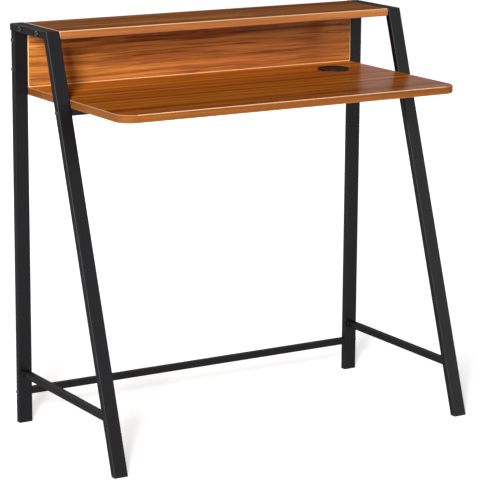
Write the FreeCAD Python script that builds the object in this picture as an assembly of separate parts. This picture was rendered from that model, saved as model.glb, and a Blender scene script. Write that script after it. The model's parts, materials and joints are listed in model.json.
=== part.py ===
import FreeCAD, Part
import math
import os

# Computer desk with a raised rear shelf, in millimetres.
# +Z is up, the sitter is toward -Y, the floor is Z = 0 and the left side is -X.

# Overall sizes of the two side frames
overall_width = 840.0
overall_height = 832.0
frame_depth = 432.0
rail_length = 158.0

# Leg and rail tube
tube_width = 30.0
tube_depth = 15.0
tube_corner = 2.4
tube_wall = 1.2

# Thinner tube of the stretchers and of the rail under the desktop
stretcher_size = 14.0
stretcher_corner = 1.6
stretcher_wall = 1.2
side_stretcher_top = 112.0
rear_stretcher_middle = 66.0
weld_leg = 3.0

# Boards
board_thickness = 16.0
board_bevel = 1.2
panel_height = 114.0
desk_depth = 415.0
desk_corner = 32.0

# Plastic foot plugs and rail end caps
plug_flange = 3.0
plug_depth = 14.0

# Button head bolts and what they screw into
bolt_diameter = 6.0
bolt_length = 44.0
bolt_head_diameter = 10.8
bolt_head_height = 3.0
bolt_head_bevel = 1.7
socket_width = 4.0
socket_depth = 1.8
insert_diameter = 10.0
insert_length = 20.0
shelf_bolt_inset = 41.0
panel_bolt_rise = 38.0
panel_bolt_spacing = 59.0

# Wood screws driven up from below
screw_diameter = 4.0
screw_head_diameter = 8.0
screw_head_height = 2.4
screw_head_bevel = 1.0
desktop_bite = 11.0
panel_bite = 24.0
rail_screw_count = 3
rail_screw_inset = 124.0
panel_screw_count = 4
panel_screw_inset = 64.0

# Cable grommet at the right rear of the desktop
grommet_hole = 60.0
grommet_right_inset = 103.0
grommet_rear_inset = 106.0
liner_flange_diameter = 69.0
liner_flange = 3.0
liner_flange_bevel = 1.2
liner_sleeve = 20.0
liner_wall = 2.6
cap_thickness = 2.0
cap_skirt = 5.0
cap_skirt_wall = 1.8
cap_seat_depth = 2.3
notch_width = 14.0
notch_depth = 11.0

# Clearances, and the overrun that every cut has past the surface it opens
bolt_clearance = 0.4
insert_clearance = 0.1
screw_clearance = 0.3
sleeve_clearance = 0.3
cap_clearance = 0.5
overrun = 5.0

# Ratios and angles
inner_corner_share = 0.5
straight_share = 0.001
quarter_turn = 90.0
full_turn = 360.0
socket_sides = 6

# Places that follow from the sizes above
overall_depth = frame_depth + plug_flange
rear_y = overall_depth / 2 - plug_flange
front_y = rear_y - frame_depth
rake = math.atan((frame_depth - rail_length) / overall_height)
raked_depth = tube_depth / math.cos(rake)
frame_x = (overall_width - tube_width) / 2
inner_width = overall_width - 2 * tube_width
rear_leg_y = rear_y - tube_depth / 2
rail_under = overall_height - tube_depth
shelf_under = overall_height - board_thickness
desk_top_height = shelf_under - panel_height
desk_under = desk_top_height - board_thickness
rail_middle = overall_height - tube_depth / 2
desk_rail_middle = desk_under - stretcher_size / 2
side_stretcher_middle = side_stretcher_top - stretcher_size / 2
shelf_bolt_ys = [rear_y - shelf_bolt_inset, rear_y - rail_length + shelf_bolt_inset]
panel_bolt_zs = [desk_top_height + panel_bolt_rise, desk_top_height + panel_bolt_rise + panel_bolt_spacing]
rail_screw_length = stretcher_size + desktop_bite
panel_screw_length = board_thickness + panel_bite
grommet_x = inner_width / 2 - grommet_right_inset
grommet_y = rear_y - grommet_rear_inset
sides = {"left": -1, "right": 1}

across = FreeCAD.Vector(1, 0, 0)
along = FreeCAD.Vector(0, 1, 0)
upward = FreeCAD.Vector(0, 0, 1)
origin = FreeCAD.Vector(0, 0, 0)


def at(x, y, z):
    return FreeCAD.Vector(x, y, z)


def front_leg_front(z):
    return front_y + z * math.tan(rake)


def front_leg_middle(z):
    return front_leg_front(z) + raked_depth / 2


def front_leg_rear(z):
    return front_leg_front(z) + raked_depth


desk_rail_y = front_leg_middle(desk_rail_middle)


def edges_along(shape, direction):
    return [edge for edge in shape.Edges if edge.Curve.Direction.cross(direction).Length < straight_share]


def level_edges(shape, z):
    boxes = [(edge, edge.BoundBox) for edge in shape.Edges]
    return [edge for edge, box in boxes if abs(box.ZMin - z) + abs(box.ZMax - z) < straight_share]


def rounded_bar(width, depth, length, corner):
    # A bar that stands on Z = 0, centred on the Z axis
    bar = Part.makeBox(width, depth, length, at(-width / 2, -depth / 2, 0))
    return bar.makeFillet(corner, edges_along(bar, upward))


def tube(width, depth, length, corner, wall):
    bore = rounded_bar(width - 2 * wall, depth - 2 * wall, length, corner * inner_corner_share)
    return rounded_bar(width, depth, length, corner).cut(bore)


def leg_tube(length):
    return tube(tube_width, tube_depth, length, tube_corner, tube_wall)


def leg_plug(length):
    # The bar that fits inside the leg tube
    return rounded_bar(tube_width - 2 * tube_wall, tube_depth - 2 * tube_wall, length, tube_corner)


def stretcher_tube(length):
    return tube(stretcher_size, stretcher_size, length, stretcher_corner, stretcher_wall)


def side_prism(points):
    # A prism across the width of a leg, from an outline in the (y, z) side plane
    reach = tube_width + overrun
    corners = [at(-reach / 2, y, z) for y, z in points]
    return Part.Face(Part.makePolygon(corners + corners[:1])).extrude(across * reach)


def cross_hole(diameter, y, z):
    # A cutter through the width of a leg
    reach = tube_width + 2 * overrun
    return Part.makeCylinder(diameter / 2, reach, at(-reach / 2, y, z), across)


def bolt_hole(y, z):
    return cross_hole(bolt_diameter + 2 * bolt_clearance, y, z)


def tilted(shape):
    # Leans an upright leg shape back by the rake, with its foot end on the floor line of the front leg
    shape.rotate(origin, across, -math.degrees(rake))
    shape.translate(at(0, front_leg_middle(0), 0))
    return shape


def mitre_points():
    # Outer and inner corner where the front leg meets the top rail
    outer = (front_leg_front(overall_height), overall_height)
    inner = (front_leg_rear(rail_under), rail_under)
    return outer, inner


def beyond(start, end):
    # The point past the end of a line in the side plane, one line length further on
    return 2 * end[0] - start[0], 2 * end[1] - start[1]


def rear_leg():
    leg = leg_tube(rail_under - plug_flange)
    leg.translate(at(0, rear_leg_y, plug_flange))
    holes = [bolt_hole(rear_leg_y, z) for z in panel_bolt_zs + [rear_stretcher_middle]]
    return leg.cut(holes)


def top_rail():
    outer, inner = mitre_points()
    rail = leg_tube(rail_length)
    rail.rotate(origin, across, quarter_turn)
    rail.translate(at(0, rear_y, rail_middle))
    keep = side_prism([beyond(inner, outer), beyond(outer, inner), (rear_y, beyond(outer, inner)[1]),
                       (rear_y, beyond(inner, outer)[1])])
    return rail.common(keep).cut([bolt_hole(y, rail_middle) for y in shelf_bolt_ys])


def front_leg():
    outer, inner = mitre_points()
    low = beyond(outer, inner)
    leg = leg_tube(overall_height / math.cos(rake) + 2 * overrun)
    leg.translate(at(0, 0, -overrun))
    keep = side_prism([outer, low, (low[0], plug_flange), (front_y - overrun, plug_flange),
                       (front_y - overrun, overall_height)])
    return tilted(leg).common(keep).cut(bolt_hole(desk_rail_y, desk_rail_middle))


def side_stretcher():
    start = rear_y - tube_depth
    low = side_stretcher_top - stretcher_size
    bar = stretcher_tube(frame_depth)
    bar.rotate(origin, across, quarter_turn)
    bar.translate(at(0, start, side_stretcher_middle))
    ends = [(start, z) for z in (low - overrun, side_stretcher_top + overrun)]
    rakes = [(front_leg_rear(z), z) for z in (side_stretcher_top + overrun, low - overrun)]
    return bar.common(side_prism(ends + rakes))


def weld_bead(side):
    # A quarter round bead in the corner between a leg face, toward +Y, and one side of a stretcher
    length = stretcher_size - 2 * stretcher_corner
    bead = Part.makeCylinder(weld_leg, length, origin, upward, quarter_turn)
    bead.translate(at(stretcher_size / 2, 0, -length / 2))
    if side < 0:
        bead = bead.mirror(origin, across)
    return bead


def weld_beads():
    beads = []
    for side in sides.values():
        front = weld_bead(side)
        front.rotate(origin, across, -math.degrees(rake))
        front.translate(at(0, front_leg_rear(side_stretcher_middle), side_stretcher_middle))
        rear = weld_bead(side)
        rear.rotate(origin, upward, 2 * quarter_turn)
        rear.translate(at(0, rear_y - tube_depth, side_stretcher_middle))
        beads += [front, rear]
    return Part.makeCompound(beads)


def rear_foot():
    flange = rounded_bar(tube_width, tube_depth, plug_flange, tube_corner)
    stem = leg_plug(plug_depth)
    foot = flange.fuse(stem)
    foot.translate(at(0, rear_leg_y, 0))
    return foot


def front_foot():
    flange = rounded_bar(tube_width, tube_depth, 2 * overrun + plug_flange, tube_corner)
    flange.translate(at(0, 0, -overrun))
    stem = leg_plug(plug_depth + overrun)
    stem.translate(at(0, 0, -overrun))
    span = (front_y - overrun, front_leg_rear(overrun + plug_depth) + overrun)
    slab = side_prism([(span[0], 0), (span[1], 0), (span[1], plug_flange), (span[0], plug_flange)])
    above = side_prism([(span[0], 0), (span[1], 0), (span[1], plug_depth), (span[0], plug_depth)])
    return tilted(flange).common(slab).fuse(tilted(stem).common(above))


def rail_cap():
    cap = rounded_bar(tube_width, tube_depth, plug_flange, tube_corner).fuse(leg_plug(plug_depth))
    cap.rotate(origin, across, quarter_turn)
    cap.translate(at(0, rear_y + plug_flange, rail_middle))
    return cap


def cross_tube(y, z, cuts):
    bar = stretcher_tube(inner_width)
    bar.rotate(origin, along, quarter_turn)
    bar.translate(at(-inner_width / 2, y, z))
    return bar.cut(cuts) if cuts else bar


def screw_row(count, inset):
    # Even places across the desk, the outer two an inset from the side frames
    reach = inner_width / 2 - inset
    return [reach * (2 * index / (count - 1) - 1) for index in range(count)]


def rail_screw_places():
    xs = screw_row(rail_screw_count, rail_screw_inset)
    return [at(x, desk_rail_y, desk_under - stretcher_size) for x in xs]


def panel_screw_places():
    xs = screw_row(panel_screw_count, panel_screw_inset)
    return [at(x, rear_y - board_thickness / 2, desk_under) for x in xs]


def screw_hole(place, length):
    return Part.makeCylinder(screw_diameter / 2 + screw_clearance, length, place)


def rear_stretcher():
    return cross_tube(rear_leg_y, rear_stretcher_middle, [])


def desk_rail():
    holes = [screw_hole(place, stretcher_size) for place in rail_screw_places()]
    return cross_tube(desk_rail_y, desk_rail_middle, holes)


def nut_block(side, y, z):
    # The threaded block in one end of a cross tube
    size = stretcher_size - 2 * stretcher_wall
    block = rounded_bar(size, size, insert_length, stretcher_corner)
    bore = Part.makeCylinder(bolt_diameter / 2 + insert_clearance, insert_length)
    block = block.cut(bore)
    block.rotate(origin, along, -side * quarter_turn)
    block.translate(at(side * inner_width / 2, y, z))
    return block


def board_insert(side, y, z):
    insert = Part.makeCylinder(insert_diameter / 2, insert_length)
    insert = insert.cut(Part.makeCylinder(bolt_diameter / 2 + insert_clearance, insert_length))
    insert.rotate(origin, along, -side * quarter_turn)
    insert.translate(at(side * inner_width / 2, y, z))
    return insert


def insert_hole(side, y, z):
    # The stepped hole in the end of a board: the insert's seat and room for the tip of its bolt
    seat = Part.makeCylinder(insert_diameter / 2 + insert_clearance, insert_length)
    room = Part.makeCylinder(bolt_diameter / 2 + bolt_clearance, bolt_length - tube_width + overrun)
    cutter = seat.fuse(room)
    cutter.rotate(origin, along, -side * quarter_turn)
    cutter.translate(at(side * inner_width / 2, y, z))
    return cutter


def both_ends(make, places):
    return [make(side, y, z) for side in sides.values() for y, z in places]


def shelf_bolt_places():
    return [(y, rail_middle) for y in shelf_bolt_ys]


def panel_bolt_places():
    return [(rear_leg_y, z) for z in panel_bolt_zs]


def rear_stretcher_places():
    return [(rear_leg_y, rear_stretcher_middle)]


def desk_rail_places():
    return [(desk_rail_y, desk_rail_middle)]


def bevelled_disc(diameter, height, bevel):
    disc = Part.makeCylinder(diameter / 2, height)
    return disc.makeChamfer(bevel, level_edges(disc, height))


def socket_cutter():
    radius = socket_width / 2 / math.cos(math.pi / socket_sides)
    turns = [full_turn / socket_sides * index for index in range(socket_sides + 1)]
    spokes = [FreeCAD.Rotation(upward, turn) for turn in turns]
    outline = Part.makePolygon([spoke.multVec(across * radius) for spoke in spokes])
    return Part.Face(outline).extrude(upward * (socket_depth + overrun))


def bolt(side, y, z):
    socket = socket_cutter()
    socket.translate(at(0, 0, bolt_head_height - socket_depth))
    head = bevelled_disc(bolt_head_diameter, bolt_head_height, bolt_head_bevel)
    shank = Part.makeCylinder(bolt_diameter / 2, bolt_length, origin, -upward)
    whole = head.fuse(shank).cut(socket)
    whole.rotate(origin, along, side * quarter_turn)
    whole.translate(at(side * overall_width / 2, y, z))
    return whole


def wood_screw(place, length):
    head = bevelled_disc(screw_head_diameter, screw_head_height, screw_head_bevel)
    head.rotate(origin, across, 2 * quarter_turn)
    screw = head.fuse(Part.makeCylinder(screw_diameter / 2, length))
    screw.translate(place)
    return screw


def board(depth, height):
    # A board between the side frames, its rear on Y = 0 and its underside on Z = 0, with every edge bevelled
    blank = Part.makeBox(inner_width, depth, height, at(-inner_width / 2, -depth, 0))
    return blank.makeChamfer(board_bevel, blank.Edges)


def top_shelf():
    shelf = board(rail_length, board_thickness)
    shelf.translate(at(0, rear_y, shelf_under))
    return shelf.cut(both_ends(insert_hole, shelf_bolt_places()))


def back_panel():
    panel = board(board_thickness, panel_height)
    panel.translate(at(0, rear_y, desk_top_height))
    pilots = [screw_hole(place, panel_screw_length) for place in panel_screw_places()]
    return panel.cut(both_ends(insert_hole, panel_bolt_places()) + pilots)


def desktop():
    front_left = at(-inner_width / 2, rear_y - desk_depth, desk_under)
    blank = Part.makeBox(inner_width, desk_depth, board_thickness, front_left)
    uprights = edges_along(blank, upward)
    fronts = [edge for edge in uprights if edge.BoundBox.YMax < 0]
    top = blank.makeFillet(desk_corner, fronts)
    top = top.makeChamfer(board_bevel, level_edges(top, desk_under) + level_edges(top, desk_top_height))
    cable_hole = Part.makeCylinder(grommet_hole / 2, board_thickness, at(grommet_x, grommet_y, desk_under))
    pilots = [screw_hole(place, rail_screw_length) for place in rail_screw_places()]
    passes = [screw_hole(place, board_thickness) for place in panel_screw_places()]
    return top.cut([cable_hole] + pilots + passes)


def grommet_liner():
    flange = bevelled_disc(liner_flange_diameter, liner_flange, liner_flange_bevel)
    sleeve_radius = grommet_hole / 2 - sleeve_clearance
    sleeve = Part.makeCylinder(sleeve_radius, liner_sleeve, origin, -upward)
    tall = liner_sleeve + liner_flange
    bore = Part.makeCylinder(sleeve_radius - liner_wall, tall, at(0, 0, -liner_sleeve))
    seat = Part.makeCylinder(grommet_hole / 2, cap_seat_depth, at(0, 0, liner_flange - cap_seat_depth))
    liner = flange.fuse(sleeve).cut([bore, seat])
    liner.translate(at(grommet_x, grommet_y, desk_top_height))
    return liner


def grommet_cap():
    radius = grommet_hole / 2 - cap_clearance
    skirt_radius = grommet_hole / 2 - sleeve_clearance - liner_wall - cap_clearance
    disc = Part.makeCylinder(radius, cap_thickness)
    skirt = Part.makeCylinder(skirt_radius, cap_skirt, origin, -upward)
    hollow = Part.makeCylinder(skirt_radius - cap_skirt_wall, cap_skirt, origin, -upward)
    notch_middle = notch_depth - notch_width / 2 - radius
    tall = cap_thickness + cap_skirt
    notch_end = Part.makeCylinder(notch_width / 2, tall, at(0, notch_middle, -cap_skirt))
    mouth_corner = at(-notch_width / 2, notch_middle - radius, -cap_skirt)
    notch_mouth = Part.makeBox(notch_width, radius, tall, mouth_corner)
    cap = disc.fuse(skirt.cut(hollow)).cut([notch_end, notch_mouth])
    cap.translate(at(grommet_x, grommet_y, desk_top_height + liner_flange - cap_seat_depth))
    return cap


def save(node, shape):
    shape.exportStep(os.path.join("parts", node + ".step"))


def save_sides():
    # The pieces that both side frames have, each made once in the middle and moved out to its side
    pieces = {"rear_leg": rear_leg(), "top_rail": top_rail(), "front_leg": front_leg(),
              "side_stretcher": side_stretcher(), "weld_beads": weld_beads(), "rear_foot": rear_foot(),
              "front_foot": front_foot(), "rail_cap": rail_cap()}
    for side_name, side in sides.items():
        for piece_name, piece in pieces.items():
            save(side_name + "_" + piece_name, piece.translated(at(side * frame_x, 0, 0)))


def save_fasteners():
    bolted = {"shelf": shelf_bolt_places(), "panel": panel_bolt_places(),
              "rear_stretcher": rear_stretcher_places(), "desk_rail": desk_rail_places()}
    for name, places in bolted.items():
        save(name + "_bolts", Part.makeCompound(both_ends(bolt, places)))
    for name in ("shelf", "panel"):
        save(name + "_inserts", Part.makeCompound(both_ends(board_insert, bolted[name])))
    for name in ("rear_stretcher", "desk_rail"):
        save(name + "_nuts", Part.makeCompound(both_ends(nut_block, bolted[name])))
    rail_screws = [wood_screw(place, rail_screw_length) for place in rail_screw_places()]
    save("desk_rail_screws", Part.makeCompound(rail_screws))
    panel_screws = [wood_screw(place, panel_screw_length) for place in panel_screw_places()]
    save("panel_screws", Part.makeCompound(panel_screws))


os.makedirs("parts", exist_ok=True)
save_sides()
save_fasteners()
save("rear_stretcher", rear_stretcher())
save("desk_rail", desk_rail())
save("desktop", desktop())
save("top_shelf", top_shelf())
save("back_panel", back_panel())
save("grommet_liner", grommet_liner())
save("grommet_cap", grommet_cap())
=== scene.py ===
import json
import math

import bmesh
import bpy
from mathutils import Matrix, Vector


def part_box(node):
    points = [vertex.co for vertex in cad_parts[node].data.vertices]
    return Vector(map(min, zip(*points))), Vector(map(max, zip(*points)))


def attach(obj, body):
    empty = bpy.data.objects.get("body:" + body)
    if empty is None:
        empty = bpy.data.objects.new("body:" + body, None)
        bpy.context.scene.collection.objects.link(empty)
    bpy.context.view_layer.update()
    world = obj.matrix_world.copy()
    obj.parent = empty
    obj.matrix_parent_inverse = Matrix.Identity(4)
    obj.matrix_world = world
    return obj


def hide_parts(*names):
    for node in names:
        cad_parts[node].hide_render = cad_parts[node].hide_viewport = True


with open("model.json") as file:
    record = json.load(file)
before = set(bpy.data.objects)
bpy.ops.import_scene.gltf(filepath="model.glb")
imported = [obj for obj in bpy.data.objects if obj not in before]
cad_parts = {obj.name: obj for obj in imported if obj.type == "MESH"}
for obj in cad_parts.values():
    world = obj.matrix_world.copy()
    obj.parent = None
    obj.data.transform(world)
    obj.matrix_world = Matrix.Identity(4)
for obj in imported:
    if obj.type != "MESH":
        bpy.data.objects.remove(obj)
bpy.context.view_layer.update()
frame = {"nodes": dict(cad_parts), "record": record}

# Sizes in metres, angles in radians. The CAD frame gives every place.
nodes = frame["nodes"]
material_slots = {part["node"]: part["material_slot"] for part in frame["record"]["subparts"]}
MILLI = 0.001

# Board edges, and how much of the pale line shows on each kind of edge face. The pale line is partly the foil's
# pale edge and partly a painted highlight where the bevels catch the light, dimmed under the boards as painted
# shade.
BOARD_BEVEL = 1.5 * MILLI
PANEL_BEVEL_DEPTH = 0.5 * MILLI
BOARD_CORNER = 1.6 * MILLI
DESK_FRONT_CORNER = 32 * MILLI
CABLE_HOLE_RADIUS = 30 * MILLI
BEVEL_PALE = 1.0
SIDE_PALE = 0.45
SHADED_UNDER_PALE = 0.2
BAND_PALE = 0.02

# Places across the grain: the lane that the edge bands are cut from, and where the flat faces begin
EDGE_LANE = -0.83
FLAT_LANE = -0.3

# Fasteners and weld beads: sizes, counts, and the segments of their heads and the sides of their shanks
BOLT_HEAD_RADIUS = 5.4 * MILLI
BOLT_SEGMENTS, BOLT_SIDES = 48, 24
SOCKET_SIDES = 6
SCREW_HEAD_HEIGHT = 2.4 * MILLI
SCREW_SEGMENTS, SCREW_SIDES = 32, 20
SCREW_COUNTS = {"desk_rail_screws": 3, "panel_screws": 4}
RECESS_SPAN_SHARE = 4.4
WELD_RUN = 10 * MILLI
WELD_RIPPLES = 6
WELD_SINK = 2 * MILLI
RIPPLE_SEGMENTS, RIPPLE_RINGS = 16, 10
RIPPLE_FLATNESS = 0.75

# Fineness of round forms, and the sharpest angle that is still shaded smooth
ARC_STEPS = 20
ROUND_STEPS = 96
MERGE_DISTANCE = 0.001 * MILLI
PLACE_DIGITS = 5
LATHE_CREASE = math.radians(40)
BOARD_CREASE = math.radians(25)
CAP_CREASE = math.radians(35)
FASTENER_CREASE = math.radians(30)
WELD_CREASE = math.radians(60)

# The same walnut foil on the three boards, each cut from another stretch of the pattern.
# A fade leads to its tone between two places along one axis of the board; these fades paint light and shade into
# the foil.
FOILS = {
    "desktop": {
        "shift": (0.3, 0.9, 0.2), "run": 0.9, "broad": 38, "sway": 0.008,
        "light": (216, 136, 46), "dark": (176, 92, 22), "streak": (138, 64, 10), "pale": (218, 178, 140),
        "rings": 0.25, "pores": 0.4, "streaks": 0.9, "band": 0.54, "gloss": 0.3, "satin": 0.26,
        # Painted reflection and shade: the desktop darker toward the front and much lighter on the rear strip under
        # the shelf, where the bright lower back panel is mirrored
        "tone": (0.78, 0.68, 0.56),
        "light_and_shade_fades": (("Y", -0.11, -0.04, (1.08, 1.1, 1.0)), ("Y", 0.075, 0.12, (1.6, 1.9, 1.9))),
    },
    "top_shelf": {
        "shift": (4.1, 2.7, 1.3), "run": 1.2, "broad": 75, "sway": 0.008,
        "light": (206, 136, 72), "dark": (166, 96, 46), "streak": (128, 62, 26), "pale": (218, 178, 140),
        "rings": 0.4, "pores": 0.7, "streaks": 0.8, "band": 1.05, "gloss": 0.06, "satin": 0.45,
        "tone": (0.79, 0.77, 0.78),
        "light_and_shade_fades": (),
    },
    "back_panel": {
        "shift": (2.2, 3.3, 8.4), "run": 1.15, "broad": 140, "sway": 0.013,
        "light": (222, 144, 66), "dark": (184, 108, 56), "streak": (136, 68, 30), "pale": (236, 192, 136),
        "rings": 0.38, "pores": 0.68, "streaks": 0.68, "band": 1.2, "gloss": 0.18, "satin": 0.26,
        # Painted light and shade by height: the panel lighter along the bottom where the main light falls full,
        # darker from 0.72 m up, lighter and bluer again from 0.765 m up to the shelf
        "tone": (0.8, 0.78, 0.81),
        "light_and_shade_fades": (("Z", 0.72, 0.75, (0.73, 0.7, 0.71)), ("Z", 0.765, 0.785, (0.88, 0.88, 0.94))),
    },
}
RING_BROWN = (124, 60, 36)
PORE_BROWN = (104, 48, 22)
RING_COUNT = 110
SWAY_STRETCH = (3.5, 6, 6)
EDGE_GRAIN = 0.25

# Camera, found by lining the frame's edges up with the photograph
CAMERA_PLACE = Vector((-2.3964, -3.9268, 1.4224))
CAMERA_YAW = 0.5462
CAMERA_DIP = 0.2224
CAMERA_ROLL = 0.0066
CAMERA_LENS = 171.68
SENSOR_WIDTH = 36

# Studio: each softbox has its place, what it faces, its size and its power in watts
SOFTBOXES = {
    "key_softbox": ((-3.78, -4.47, 2.68), (0, 0, 0.75), (1.0, 1.7), 555),
    "side_softbox": ((3.8, -4.6, 1.9), (0.3, 0, 0.5), (0.7, 2.2), 40),
    "back_softbox": ((0.5, 5.0, 2.3), (0, 0, 0.6), (1.8, 1.8), 70),
}
ROOM_FILL = 0.05
FLOOR_HALF = 30
FLOOR_GREY = 0.85
FLOOR_NEAR, FLOOR_FAR = 0.4, 2.2
FLOOR_NEAR_GLOW, FLOOR_FAR_GLOW = 0.6, 0.95
DIRECT_RAYS = ("Is Camera Ray", "Is Glossy Ray", "Is Transmission Ray")


def srgb(red, green, blue):
    """A colour read on the 0 to 255 scale, as the linear colour that a shader takes."""
    def linear(level):
        level = level / 255
        return level / 12.92 if level <= 0.04045 else ((level + 0.055) / 1.055) ** 2.4
    return (linear(red), linear(green), linear(blue), 1)


# Node trees

class Term:
    """A node socket that takes part in Python sums."""

    def __init__(self, tree, socket):
        self.tree = tree
        self.socket = socket

    def math(self, operation, *others, swap=False):
        terms = [self, *others]
        if swap:
            terms.reverse()
        return self.tree.node("ShaderNodeMath", {"operation": operation}, dict(enumerate(terms)))

    def __add__(self, other):
        return self.math("ADD", other)

    def __sub__(self, other):
        return self.math("SUBTRACT", other)

    def __rsub__(self, other):
        return self.math("SUBTRACT", other, swap=True)

    def __mul__(self, other):
        return self.math("MULTIPLY", other)

    def __truediv__(self, other):
        return self.math("DIVIDE", other)

    def __rtruediv__(self, other):
        return self.math("DIVIDE", other, swap=True)

    def __pow__(self, other):
        return self.math("POWER", other)

    def __rpow__(self, other):
        return self.math("POWER", other, swap=True)

    __radd__ = __add__
    __rmul__ = __mul__


class Tree:
    """Adds nodes to a shader or geometry tree, each with its settings and the values or links of its sockets."""

    def __init__(self, tree):
        self.tree = tree

    def node(self, kind, settings=None, sockets=None, out=0):
        made = self.tree.nodes.new(kind)
        for name, value in (settings or {}).items():
            setattr(made, name, value)
        for key, value in (sockets or {}).items():
            self.feed(made.inputs[key], value)
        return Term(self, made.outputs[out]) if made.outputs else made

    def feed(self, socket, value):
        """Sets a socket to a value, or links it to a term or to each term of a list."""
        if isinstance(value, list):
            for term in value:
                self.feed(socket, term)
        elif isinstance(value, Term):
            self.tree.links.new(value.socket, socket)
        else:
            socket.default_value = value


class Finish(Tree):
    """One material: a Principled shader and the patterns that feed it."""

    def __init__(self, name, **constants):
        self.material = bpy.data.materials.new(name)
        self.material.use_nodes = True
        super().__init__(self.material.node_tree)
        self.shader = self.tree.nodes["Principled BSDF"]
        for socket, value in constants.items():
            self.shader.inputs[socket.replace("_", " ")].default_value = value
        self.place = self.node("ShaderNodeTexCoord", out="Object")

    def set(self, socket, value):
        self.feed(self.shader.inputs[socket], value)

    def stretched(self, scale, shift):
        return self.node("ShaderNodeMapping", None, {"Vector": self.place, "Scale": scale, "Location": shift})

    def noise(self, place, scale=1.0, detail=3.0, roughness=0.5, distortion=0.0):
        return self.node("ShaderNodeTexNoise", None, {"Vector": place, "Scale": scale, "Detail": detail,
                                                      "Roughness": roughness, "Distortion": distortion})

    def ramp(self, value, start, end, low=0.0, high=1.0):
        sockets = {"Value": value, "From Min": start, "From Max": end, "To Min": low, "To Max": high}
        return self.node("ShaderNodeMapRange", {"interpolation_type": "SMOOTHSTEP"}, sockets)

    def mix(self, factor, first, second):
        return self.node("ShaderNodeMix", {"data_type": "RGBA"}, {0: factor, 6: first, 7: second}, out=2)

    def mix_tones(self, factor, first, second):
        return self.node("ShaderNodeMix", {"data_type": "VECTOR"}, {0: factor, 4: first, 5: second}, out=1)

    def part(self, vector, axis):
        return self.node("ShaderNodeSeparateXYZ", None, {0: vector}, out=axis)

    def tint(self, colour, amount):
        """The colour times a number that varies over the surface."""
        return self.node("ShaderNodeVectorMath", {"operation": "SCALE"}, {0: colour, "Scale": amount})

    def bump(self, height, strength, distance):
        sockets = {"Height": height, "Strength": strength, "Distance": distance}
        self.set("Normal", self.node("ShaderNodeBump", None, sockets))


# Finishes

def walnut_foil(name, look):
    """Walnut woodgrain foil that follows the board's own grain attribute, pale tan on the bevels as partly a
    painted highlight, with painted light and shade in its tone fades.
    """
    foil = Finish(name, Specular_IOR_Level=0.0, Coat_Weight=look["gloss"], Coat_Roughness=look["satin"],
                  Coat_IOR=1.4)
    grain = foil.node("ShaderNodeAttribute", {"attribute_name": "grain"}, out="Vector")
    flat = foil.ramp(foil.part(grain, "Y"), EDGE_LANE, FLAT_LANE)
    bold = flat * (1 - EDGE_GRAIN) + EDGE_GRAIN

    # The lines of the grain sway a little
    foil.place = grain
    sway = (foil.noise(foil.stretched(SWAY_STRETCH, look["shift"]), detail=2) - 0.5) * look["sway"]
    lift = foil.node("ShaderNodeCombineXYZ", None, {1: sway, 2: sway})
    foil.place = foil.node("ShaderNodeVectorMath", {"operation": "ADD"}, {0: grain, 1: lift})

    def pattern(along, across, detail, roughness, distortion=0.0):
        place = foil.stretched((along * look["run"], across, across), look["shift"])
        return foil.noise(place, detail=detail, roughness=roughness, distortion=distortion)

    drift = pattern(0.7, 13, detail=2, roughness=0.45)
    figure = pattern(0.55, 9, detail=4, roughness=0.45, distortion=0.3)
    streak = pattern(0.9, look["broad"], detail=5, roughness=0.68, distortion=0.12)
    fibre = pattern(2.6, 260, detail=4, roughness=0.75)
    pores = pattern(2.4, 170, detail=3, roughness=0.6, distortion=0.25)
    rings = (figure * RING_COUNT).math("SINE") * 0.5 + 0.5
    streaks = foil.ramp(streak, 0.42, 0.64, high=look["streaks"])
    lines = foil.ramp(pores, 0.55, 0.64, high=look["pores"])

    # Colours from the ground up: drift, growth rings, dark streaks, pores, tone with its painted light and shade
    # fades, fibres
    base = foil.mix(foil.ramp(drift, 0.32, 0.68), srgb(*look["light"]), srgb(*look["dark"]))
    ringed = foil.mix(rings ** 4 * bold * look["rings"], base, srgb(*RING_BROWN))
    streaked = foil.mix(streaks * bold, ringed, srgb(*look["streak"]))
    lined = foil.mix(lines * bold, streaked, srgb(*PORE_BROWN))
    tone = look["tone"]
    for axis, start, end, next_tone in look["light_and_shade_fades"]:
        tone = foil.mix_tones(foil.ramp(foil.part(grain, axis), start, end), tone, next_tone)
    toned = foil.node("ShaderNodeVectorMath", {"operation": "MULTIPLY"}, {0: lined, 1: tone})
    band = flat * (1 - look["band"]) + look["band"]
    grained = foil.tint(toned, foil.ramp(fibre, 0.28, 0.72, 0.74, 1.26) * band)
    # The pale line on the bevels: partly the foil's pale edge, partly a painted highlight
    edge = foil.node("ShaderNodeAttribute", {"attribute_name": "edge_line"}, out="Fac")
    foil.set("Base Color", foil.mix(edge, grained, srgb(*look["pale"])))
    foil.set("Roughness", foil.ramp(fibre, 0.3, 0.7, 0.5, 0.4))
    foil.bump(fibre, strength=0.12, distance=0.2 * MILLI)
    return foil.material


def powder_coat():
    """Satin black powder coat: a fine orange peel and a faint drift in gloss."""
    coat = Finish("satin_black_powder_coat", Specular_IOR_Level=0.0, Coat_IOR=1.5, Coat_Roughness=0.4)
    facing = coat.node("ShaderNodeLayerWeight", None, {"Blend": 0.5}, out="Facing")
    coat.set("Coat Weight", (1 - facing) ** 0.45 * 0.34)
    peel = coat.noise(coat.place, scale=900, detail=2)
    drift = coat.noise(coat.place, scale=7, detail=3)
    speck = coat.ramp(coat.noise(coat.place, scale=2600, detail=1), 0.62, 0.72)
    coat.set("Base Color", coat.mix(drift * 0.5 + speck * 0.2, srgb(10, 10, 12), srgb(18, 18, 21)))
    coat.set("Roughness", coat.ramp(drift, 0.35, 0.65, 0.5, 0.6))
    coat.bump(peel, strength=0.04, distance=0.05 * MILLI)
    return coat.material


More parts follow.
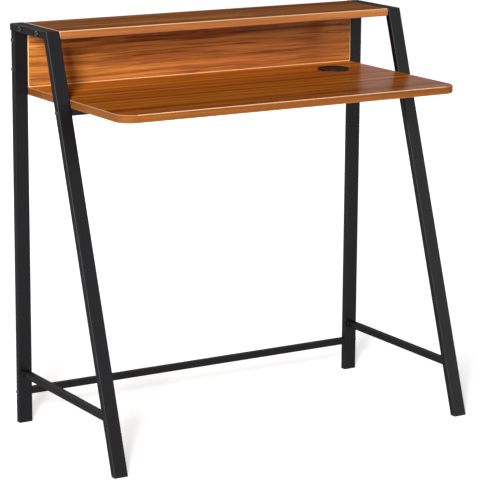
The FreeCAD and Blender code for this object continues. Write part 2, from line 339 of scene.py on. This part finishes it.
def moulded_plastic():
    """Matte moulded black plastic with a fine spark-eroded grain."""
    plastic = Finish("moulded_black_plastic", Specular_IOR_Level=0.15)
    grain = plastic.noise(plastic.place, scale=1500, detail=2)
    cloud = plastic.noise(plastic.place, scale=20, detail=2)
    plastic.set("Base Color", plastic.mix(cloud, srgb(14, 12, 11), srgb(24, 21, 20)))
    plastic.set("Roughness", plastic.ramp(grain, 0.3, 0.7, 0.42, 0.58))
    plastic.bump(grain, strength=0.2, distance=0.1 * MILLI)
    return plastic.material


def black_oxide():
    """Black coated bolt steel, a little worn to bare metal by the key."""
    bolt = Finish("black_coated_bolt", Specular_IOR_Level=0.45)
    wear = bolt.ramp(bolt.noise(bolt.place, scale=700, detail=4), 0.58, 0.75)
    bolt.set("Base Color", bolt.mix(wear, srgb(8, 8, 9), srgb(34, 33, 32)))
    bolt.set("Metallic", wear * 0.6)
    bolt.set("Roughness", 0.34 - wear * 0.08)
    return bolt.material


def zinc_plate():
    """Bright zinc plate on the screws and inserts, faintly clouded."""
    zinc = Finish("bright_zinc_plate", Metallic=1.0)
    cloud = zinc.noise(zinc.place, scale=160, detail=3)
    zinc.set("Base Color", zinc.mix(cloud, srgb(176, 178, 178), srgb(214, 212, 204)))
    zinc.set("Roughness", zinc.ramp(cloud, 0.3, 0.7, 0.28, 0.44))
    return zinc.material


# Mesh helpers

def box_of(node):
    """The low and the high corner of a CAD node."""
    low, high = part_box(node)
    return Vector(low), Vector(high)


def placed(name, data):
    """A new object of the scene, at the origin."""
    made = bpy.data.objects.new(name, data)
    bpy.context.scene.collection.objects.link(made)
    return made


def piece_from(name, mesh, material, body, node):
    """A finished piece at the origin that rides on a body and stands for the CAD node it replaces."""
    piece = placed(name, mesh)
    mesh.materials.clear()
    mesh.materials.append(material)
    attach(piece, body)
    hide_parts(node)


def mesh_from(made, name):
    """The mesh of a finished bmesh, with its faces turned outwards."""
    bmesh.ops.recalc_face_normals(made, faces=made.faces)
    mesh = bpy.data.meshes.new(name)
    made.to_mesh(mesh)
    made.free()
    return mesh


def baked_mesh(holder):
    """The plain mesh that an object's modifiers give. The object itself is removed."""
    graph = bpy.context.evaluated_depsgraph_get()
    mesh = bpy.data.meshes.new_from_object(holder.evaluated_get(graph))
    bpy.data.objects.remove(holder)
    return mesh


def cut_from(mesh, cutter_mesh):
    """The first mesh less the second."""
    holder = placed("cut_holder", mesh)
    cutter = placed("cutter", cutter_mesh)
    modifier = holder.modifiers.new("cut", "BOOLEAN")
    modifier.object = cutter
    modifier.solver = "EXACT"
    result = baked_mesh(holder)
    bpy.data.objects.remove(cutter)
    return result


def shade(mesh, angle):
    """Smooth shading that stays crisp at edges sharper than the angle."""
    mesh.shade_smooth()
    mesh.set_sharp_from_angle(angle=angle)
    return mesh


def circle(radius, steps):
    """Even points on a circle about the origin, counter-clockwise."""
    turns = [2 * math.pi * step / steps for step in range(steps)]
    return [radius * Vector((math.cos(turn), math.sin(turn))) for turn in turns]


def lathe(profile, centre):
    """A closed solid of revolution about a vertical axis, from a closed (radius, height) profile."""
    made = bmesh.new()
    rings = []
    for spoke in circle(1, ROUND_STEPS):
        rings.append([made.verts.new(centre + Vector((radius * spoke.x, radius * spoke.y, height)))
                      for radius, height in profile])
    for step, here in enumerate(rings):
        there = rings[(step + 1) % len(rings)]
        for index in range(len(profile)):
            after = (index + 1) % len(profile)
            made.faces.new((here[index], there[index], there[after], here[after]))
    bmesh.ops.remove_doubles(made, verts=made.verts, dist=MERGE_DISTANCE)
    return shade(mesh_from(made, "lathe"), LATHE_CREASE)


def bridge(made, lower, upper):
    """Quads between two rings with the same count, in the order of the rings."""
    pairs = [(index, (index + 1) % len(lower)) for index in range(len(lower))]
    return [made.faces.new((lower[here], lower[there], upper[there], upper[here])) for here, there in pairs]


# Boards

def corner_points(corner, radius, start_turn, steps):
    """The points of one rounded corner of an outline, counter-clockwise."""
    turns = [start_turn + math.pi / 2 * step / steps for step in range(steps + 1)]
    return [corner + radius * Vector((math.cos(turn), math.sin(turn))) for turn in turns]


def outline(low, high, inset, radii):
    """A rectangle with four corners, pulled in by an inset. Small corners are single bevels and marked as pale."""
    points = []
    pales = []
    for index, radius in enumerate(radii):
        near = Vector((high[0] - inset - radius, high[1] - inset - radius))
        far = Vector((low[0] + inset + radius, low[1] + inset + radius))
        corner = Vector((near.x if index in (0, 3) else far.x, near.y if index in (0, 1) else far.y))
        steps = 1 if radius <= BOARD_CORNER else ARC_STEPS
        points += corner_points(corner, radius, index * math.pi / 2, steps)
        pales += [steps == 1] * steps + [False]
    return points, pales


def ring_edges(made, row):
    return [made.edges.get((row[index - 1], row[index])) for index in range(len(row))]


def fill_cap(made, row, hole_row):
    """Closes one flat side of a board, round its hole if it has one."""
    if not hole_row:
        return [made.faces.new(row)]
    edges = ring_edges(made, row) + ring_edges(made, hole_row)
    filled = bmesh.ops.triangle_fill(made, use_beauty=True, edges=edges)
    return [item for item in filled["geom"] if isinstance(item, bmesh.types.BMFace)]


def board_mesh(node, thin_axis, front_radius, hole=None):
    """A board with bevelled edges. Its attributes mark the bevels with the pale line, partly a painted highlight,
    and carry the grain round the edge band.
    """
    low, high = box_of(node)
    flat = [axis for axis in range(3) if axis != thin_axis]
    thickness = high[thin_axis] - low[thin_axis]
    standing = thin_axis == 1
    depth = PANEL_BEVEL_DEPTH if standing else BOARD_BEVEL
    shaded_under_pale = BEVEL_PALE if standing else SHADED_UNDER_PALE
    side_pale = SIDE_PALE if front_radius > BOARD_CORNER else BEVEL_PALE
    side_start = high[flat[0]] - front_radius
    radii = [BOARD_CORNER, BOARD_CORNER, front_radius, front_radius]
    levels = [(BOARD_BEVEL, 0), (0, depth), (0, thickness - depth), (BOARD_BEVEL, thickness)]
    made = bmesh.new()
    mark = made.faces.layers.float.new("edge_line")
    grain = made.loops.layers.float_vector.new("grain")

    def vertex(point, rise):
        place = Vector((0, 0, 0))
        place[thin_axis] = low[thin_axis] + rise
        place[flat[0]], place[flat[1]] = point
        return made.verts.new(place)

    rows = []
    for inset, rise in levels:
        points, pales = outline([low[axis] for axis in flat], [high[axis] for axis in flat], inset, radii)
        rows.append([vertex(point, rise) for point in points])
    run = [0.0]
    for index, point in enumerate(points):
        run.append(run[-1] + (points[(index + 1) % len(points)] - point).length)

    # Each quad's corners: how far along the outline and how far up the edge they lie
    corners = ((0, 0), (1, 0), (1, 1), (0, 1))
    for number, (lower, upper) in enumerate(zip(rows, rows[1:])):
        for index, face in enumerate(bridge(made, lower, upper)):
            middle = face.calc_center_median()
            # Pale line per face: full on the bevels, less on the desktop's sides, dimmed under the boards as
            # painted shade; partly a painted highlight
            pale = side_pale if abs(middle[flat[0]]) > side_start else BEVEL_PALE
            if middle.z < low.z + BOARD_BEVEL:
                pale = shaded_under_pale
            face[mark] = pale if number != 1 or pales[index] else BAND_PALE
            for loop, (along, up) in zip(face.loops, corners):
                loop[grain] = (run[index + along], EDGE_LANE, levels[number + up][1])
    hole_rows = [None, None]
    if hole:
        centre, radius = hole
        rim = [centre.to_2d() + spoke for spoke in circle(radius, ROUND_STEPS)]
        hole_rows = [[vertex(point, rise) for point in rim] for rise in (0, thickness)]
        bridge(made, hole_rows[1], hole_rows[0])
    for row, hole_row in zip((rows[0], rows[-1]), hole_rows):
        for face in fill_cap(made, row, hole_row):
            for loop in face.loops:
                loop[grain] = loop.vert.co
    return shade(mesh_from(made, node + "_board"), BOARD_CREASE)


def grommet_axis():
    low, high = box_of("grommet_liner")
    return Vector(((low.x + high.x) / 2, (low.y + high.y) / 2, 0))


def board_pieces():
    hole = (grommet_axis(), CABLE_HOLE_RADIUS)
    meshes = {"desktop": board_mesh("desktop", 2, DESK_FRONT_CORNER, hole),
              "top_shelf": board_mesh("top_shelf", 2, BOARD_CORNER),
              "back_panel": board_mesh("back_panel", 1, BOARD_CORNER)}
    for node, mesh in meshes.items():
        piece_from(node + "_board", mesh, walnut_foil("walnut_foil_" + node, FOILS[node]), "desk", node)


# Cable grommet

def liner_piece():
    """The flanged sleeve in the desktop's hole, with the seat that carries the cap."""
    low, high = box_of("grommet_liner")
    flange = (high.x - low.x) / 2
    desk_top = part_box("desktop")[1][2]
    bore = 27.1 * MILLI
    sleeve = 29.7 * MILLI
    seat = 30 * MILLI
    ledge = high.z - 2.3 * MILLI
    lip = 0.8 * MILLI
    profile = [(flange, desk_top), (flange, high.z - 2 * lip), (flange - 0.3 * lip, high.z - 0.7 * lip),
               (flange - lip, high.z), (seat + 0.5 * lip, high.z), (seat, high.z - 0.5 * lip), (seat, ledge),
               (bore, ledge), (bore, low.z), (sleeve, low.z), (sleeve, desk_top)]
    piece_from("grommet_liner_ring", lathe(profile, grommet_axis()), plastic, "desk", "grommet_liner")


def notch_prism(centre, width, inner, outer, low, high):
    """The U-shaped cutter of the cap's cable notch, open toward the sitter."""
    half = width / 2
    arc = [Vector((half * math.cos(turn), half * math.sin(turn) - inner))
           for turn in (math.pi * step / ARC_STEPS for step in range(ARC_STEPS + 1))]
    points = arc + [Vector((-half, -outer)), Vector((half, -outer))]
    made = bmesh.new()
    base, top = ([made.verts.new((centre.x + point.x, centre.y + point.y, height)) for point in points]
                 for height in (low, high))
    made.faces.new(base)
    made.faces.new(top)
    bridge(made, base, top)
    return mesh_from(made, "notch")


def cap_piece():
    """The dished cap with its skirt and the notch that lets cables through."""
    low, high = box_of("grommet_cap")
    rim = (high.x - low.x) / 2
    under = high.z - 2 * MILLI
    skirt = 26.6 * MILLI
    skirt_inner = 24.8 * MILLI
    soft = 0.5 * MILLI
    dish = 0.4 * MILLI
    profile = [(0, high.z - dish), (rim - 6 * soft, high.z - dish), (rim - 4 * soft, high.z), (rim - soft, high.z),
               (rim, high.z - soft), (rim, under), (skirt, under), (skirt, low.z + soft), (skirt - soft, low.z),
               (skirt_inner, low.z), (skirt_inner, under), (0, under)]
    notch_width = 14 * MILLI
    notch_depth = 11 * MILLI
    inner = rim - notch_depth + notch_width / 2
    cutter = notch_prism(grommet_axis(), notch_width, inner, rim + notch_width,
                         low.z - notch_width, high.z + notch_width)
    mesh = shade(cut_from(lathe(profile, grommet_axis()), cutter), CAP_CREASE)
    piece_from("grommet_cap_disc", mesh, plastic, "cap", "grommet_cap")


# Repeated fasteners and weld beads

class PointTree(Tree):
    """A geometry tree that puts one made shape on every point, turned to face the point's own direction."""

    def __init__(self, name, sizes):
        tree = bpy.data.node_groups.new(name, "GeometryNodeTree")
        super().__init__(tree)
        tree.interface.new_socket("Geometry", in_out="OUTPUT", socket_type="NodeSocketGeometry")
        tree.interface.new_socket("Geometry", in_out="INPUT", socket_type="NodeSocketGeometry")
        self.sizes = sizes
        self.identifiers = {}
        for size in sizes:
            socket = tree.interface.new_socket(size, in_out="INPUT", socket_type="NodeSocketFloat")
            self.identifiers[size] = socket.identifier

    def size(self, name):
        return self.node("NodeGroupInput", out=name)

    def vector(self, x, y, z):
        return self.node("ShaderNodeCombineXYZ", None, {0: x, 1: y, 2: z})

    def ball(self, segments, rings, radius):
        return self.node("GeometryNodeMeshUVSphere", None, {"Segments": segments, "Rings": rings, "Radius": radius})

    def rod(self, sides, radius, length):
        return self.node("GeometryNodeMeshCylinder", None, {"Vertices": sides, "Radius": radius, "Depth": length})

    def block(self, x, y, z):
        return self.node("GeometryNodeMeshCube", None, {"Size": self.vector(x, y, z)})

    def raised(self, geometry, height):
        return self.node("GeometryNodeTransform", None,
                         {"Geometry": geometry, "Translation": self.vector(0, 0, height)})

    def flattened(self, geometry, share):
        return self.node("GeometryNodeTransform", None,
                         {"Geometry": geometry, "Scale": self.vector(1, 1, share)})

    def head(self, segments, *recesses):
        """A ball flattened to the head's height, less its lower half and the recesses of its drive."""
        radius, height = self.size("head radius"), self.size("head height")
        dome = self.flattened(self.ball(segments, segments // 2, radius), height / radius)
        under = self.raised(self.block(radius * 3, radius * 3, radius * 3), radius * -1.5)
        cutters = [under] + [self.raised(recess, height) for recess in recesses]
        sockets = {"Mesh 1": dome, "Mesh 2": cutters}
        return self.node("GeometryNodeMeshBoolean", {"operation": "DIFFERENCE"}, sockets)

    def on_shank(self, head, sides):
        length = self.size("shank length")
        shank = self.rod(sides, self.size("shank radius"), length)
        return self.node("GeometryNodeJoinGeometry", None, {0: [head, self.raised(shank, length * -0.5)]})

    def end(self, shape, material):
        points = self.node("NodeGroupInput", out="Geometry")
        facing = self.node("GeometryNodeInputNamedAttribute", {"data_type": "FLOAT_VECTOR"}, {"Name": "facing"})
        turn = self.node("FunctionNodeAlignRotationToVector", {"axis": "Z"}, {"Vector": facing})
        copies = self.node("GeometryNodeInstanceOnPoints", None,
                           {"Points": points, "Instance": shape, "Rotation": turn})
        real = self.node("GeometryNodeRealizeInstances", None, {"Geometry": copies})
        dressed = self.node("GeometryNodeSetMaterial", None, {"Geometry": real, "Material": material})
        self.node("NodeGroupOutput", None, {0: dressed})

    def mesh_on(self, places, facings):
        """The shape realised on the given places as one plain mesh."""
        points = bpy.data.meshes.new("points")
        points.from_pydata(places, [], [])
        attribute = points.attributes.new("facing", "FLOAT_VECTOR", "POINT")
        for index, facing in enumerate(facings):
            attribute.data[index].vector = facing
        holder = placed("point_holder", points)
        modifier = holder.modifiers.new("copies", "NODES")
        modifier.node_group = self.tree
        for size, value in self.sizes.items():
            modifier[self.identifiers[size]] = value
        return baked_mesh(holder)


def bolt_tree(material):
    """A domed button head with a hexagonal socket, and its shank."""
    tree = PointTree("button_head_bolt", {"head radius": BOLT_HEAD_RADIUS, "head height": 3.0 * MILLI,
                                          "socket radius": 2.31 * MILLI, "socket depth": 1.8 * MILLI,
                                          "shank radius": 3.0 * MILLI, "shank length": 44 * MILLI})
    socket = tree.rod(SOCKET_SIDES, tree.size("socket radius"), tree.size("socket depth") * 2)
    tree.end(tree.on_shank(tree.head(BOLT_SEGMENTS, socket), BOLT_SIDES), material)
    return tree


def screw_tree(material, length):
    """A pan head wood screw with a cross recess."""
    tree = PointTree("pan_head_screw", {"head radius": 4.0 * MILLI, "head height": SCREW_HEAD_HEIGHT,
                                        "recess": 1.0 * MILLI, "shank radius": 2.0 * MILLI, "shank length": length})
    width, height = tree.size("recess"), tree.size("head height")
    span = width * RECESS_SPAN_SHARE
    cross = [tree.block(width, span, height), tree.block(span, width, height)]
    tree.end(tree.on_shank(tree.head(SCREW_SEGMENTS, *cross), SCREW_SIDES), material)
    return tree


def bolt_places(node):
    """The seats of a bolt group on both outer faces, read from the group's CAD box."""
    low, high = box_of(node)
    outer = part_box("right_rear_leg")[1][0]
    rows = []
    for first, last in ((low.y, high.y), (low.z, high.z)):
        ends = (first + BOLT_HEAD_RADIUS, last - BOLT_HEAD_RADIUS)
        rows.append(sorted({round(end, PLACE_DIGITS) for end in ends}))
    return [Vector((side * outer, y, z)) for side in (-1, 1) for y in rows[0] for z in rows[1]]


def bolt_pieces():
    tree = bolt_tree(bolt_steel)
    for node in ("shelf_bolts", "panel_bolts", "rear_stretcher_bolts", "desk_rail_bolts"):
        places = bolt_places(node)
        facings = [Vector((math.copysign(1, place.x), 0, 0)) for place in places]
        mesh = shade(tree.mesh_on(places, facings), FASTENER_CREASE)
        piece_from(node + "_domed", mesh, bolt_steel, "desk", node)


def screw_pieces():
    for node, count in SCREW_COUNTS.items():
        low, high = box_of(node)
        head = (high.y - low.y) / 2
        seat = low.z + SCREW_HEAD_HEIGHT
        reach = (high.x - low.x) / 2 - head
        places = [Vector((reach * (2 * index / (count - 1) - 1), low.y + head, seat)) for index in range(count)]
        tree = screw_tree(zinc, high.z - seat)
        mesh = shade(tree.mesh_on(places, [Vector((0, 0, -1))] * count), FASTENER_CREASE)
        piece_from(node + "_crossed", mesh, zinc, "desk", node)


def weld_tree(material):
    """A short weld bead: a row of overlapping ripples along its run."""
    tree = PointTree("weld_bead", {"ripple radius": 2.2 * MILLI, "run": WELD_RUN})
    step = tree.size("run") * (1 / WELD_RIPPLES)
    start = step * (0.5 - WELD_RIPPLES / 2)
    line = tree.node("GeometryNodeMeshLine", {"mode": "OFFSET"},
                     {"Count": WELD_RIPPLES, "Start Location": tree.vector(0, 0, start),
                      "Offset": tree.vector(0, 0, step)})
    ball = tree.ball(RIPPLE_SEGMENTS, RIPPLE_RINGS, tree.size("ripple radius"))
    ripple = tree.flattened(ball, RIPPLE_FLATNESS)
    bead = tree.node("GeometryNodeInstanceOnPoints", None, {"Points": line, "Instance": ripple})
    tree.end(tree.node("GeometryNodeRealizeInstances", None, {"Geometry": bead}), material)
    return tree


def weld_pieces():
    """Four beads for each side stretcher: upright at the rear leg, along the raked front leg at the other end."""
    tree = weld_tree(coat)
    for side in ("left", "right"):
        low, high = box_of(side + "_side_stretcher")
        bead_low = box_of(side + "_weld_beads")[0]
        leg_low, leg_high = box_of(side + "_front_leg")
        rail_low = box_of(side + "_top_rail")[0]
        lean = Vector((0, rail_low.y - leg_low.y, leg_high.z - leg_low.z)).normalized()
        middle = (low.z + high.z) / 2
        front = (bead_low.y + low.y) / 2 + WELD_SINK
        places = []
        facings = []
        for x in (low.x, high.x):
            places += [Vector((x, high.y, middle)), Vector((x, front, middle))]
            facings += [Vector((0, 0, 1)), lean]
        mesh = shade(tree.mesh_on(places, facings), WELD_CREASE)
        piece_from(side + "_weld_ripples", mesh, coat, "desk", side + "_weld_beads")


def dress_nodes():
    """The CAD pieces that stay keep their shape and get a finish by their material slot."""
    finishes = {"black_powder_coat": coat, "black_plastic": plastic, "black_bolt": bolt_steel, "zinc_steel": zinc}
    for name, node in nodes.items():
        if material_slots[name] in finishes:
            node.data.materials.clear()
            node.data.materials.append(finishes[material_slots[name]])


# Studio

def add_camera():
    data = bpy.data.cameras.new("camera")
    data.sensor_width = SENSOR_WIDTH
    data.lens = CAMERA_LENS
    ahead = Vector((math.sin(CAMERA_YAW) * math.cos(CAMERA_DIP), math.cos(CAMERA_YAW) * math.cos(CAMERA_DIP),
                    -math.sin(CAMERA_DIP)))
    level = Vector((math.cos(CAMERA_YAW), -math.sin(CAMERA_YAW), 0))
    above = level.cross(ahead)
    right = math.cos(CAMERA_ROLL) * level + math.sin(CAMERA_ROLL) * above
    up = math.cos(CAMERA_ROLL) * above - math.sin(CAMERA_ROLL) * level
    camera = placed("camera", data)
    camera.matrix_world = Matrix.Translation(CAMERA_PLACE) @ Matrix((right, up, -ahead)).transposed().to_4x4()
    bpy.context.scene.camera = camera


def add_softbox(name, place, target, size, power):
    data = bpy.data.lights.new(name, "AREA")
    data.shape = "RECTANGLE"
    data.size, data.size_y = size
    data.energy = power
    lamp = placed(name, data)
    lamp.location = place
    lamp.rotation_euler = (Vector(target) - Vector(place)).to_track_quat("-Z", "Y").to_euler()


def seen_directly(tree):
    """1 for camera, mirror and see-through rays, 0 for the rays that light the object."""
    camera, glossy, through = (tree.node("ShaderNodeLightPath", out=ray) for ray in DIRECT_RAYS)
    return camera.math("MAXIMUM", glossy).math("MAXIMUM", through)


def add_world():
    """A white room that lights the object only a little."""
    world = bpy.data.worlds.new("studio")
    world.use_nodes = True
    tree = Tree(world.node_tree)
    background = world.node_tree.nodes["Background"]
    background.inputs["Color"].default_value = (1, 1, 1, 1)
    tree.feed(background.inputs["Strength"], seen_directly(tree) * (1 - ROOM_FILL) + ROOM_FILL)
    bpy.context.scene.world = world


def add_floor():
    """A wide pale floor that takes the soft shadow and reads as white around it."""
    half = FLOOR_HALF
    mesh = bpy.data.meshes.new("floor")
    mesh.from_pydata([(-half, -half, 0), (half, -half, 0), (half, half, 0), (-half, half, 0)], [], [(0, 1, 2, 3)])
    floor = placed("floor", mesh)
    pale = Finish("pale_floor", Base_Color=(FLOOR_GREY, FLOOR_GREY, FLOOR_GREY, 1), Roughness=0.9,
                  Specular_IOR_Level=0.0, Emission_Strength=1.0)
    reach = pale.node("ShaderNodeVectorMath", {"operation": "LENGTH"}, {0: pale.place}, out="Value")
    glow = seen_directly(pale) * pale.ramp(reach, FLOOR_NEAR, FLOOR_FAR, FLOOR_NEAR_GLOW, FLOOR_FAR_GLOW)
    pale.set("Emission Color", pale.tint((1, 1, 1), glow))
    mesh.materials.append(pale.material)


coat = powder_coat()
plastic = moulded_plastic()
bolt_steel = black_oxide()
zinc = zinc_plate()

bpy.context.scene.view_settings.view_transform = "Standard"
add_camera()
add_world()
add_floor()
for name, (place, target, size, power) in SOFTBOXES.items():
    add_softbox(name, place, target, size, power)
dress_nodes()
board_pieces()
liner_piece()
cap_piece()
bolt_pieces()
screw_pieces()
weld_pieces()
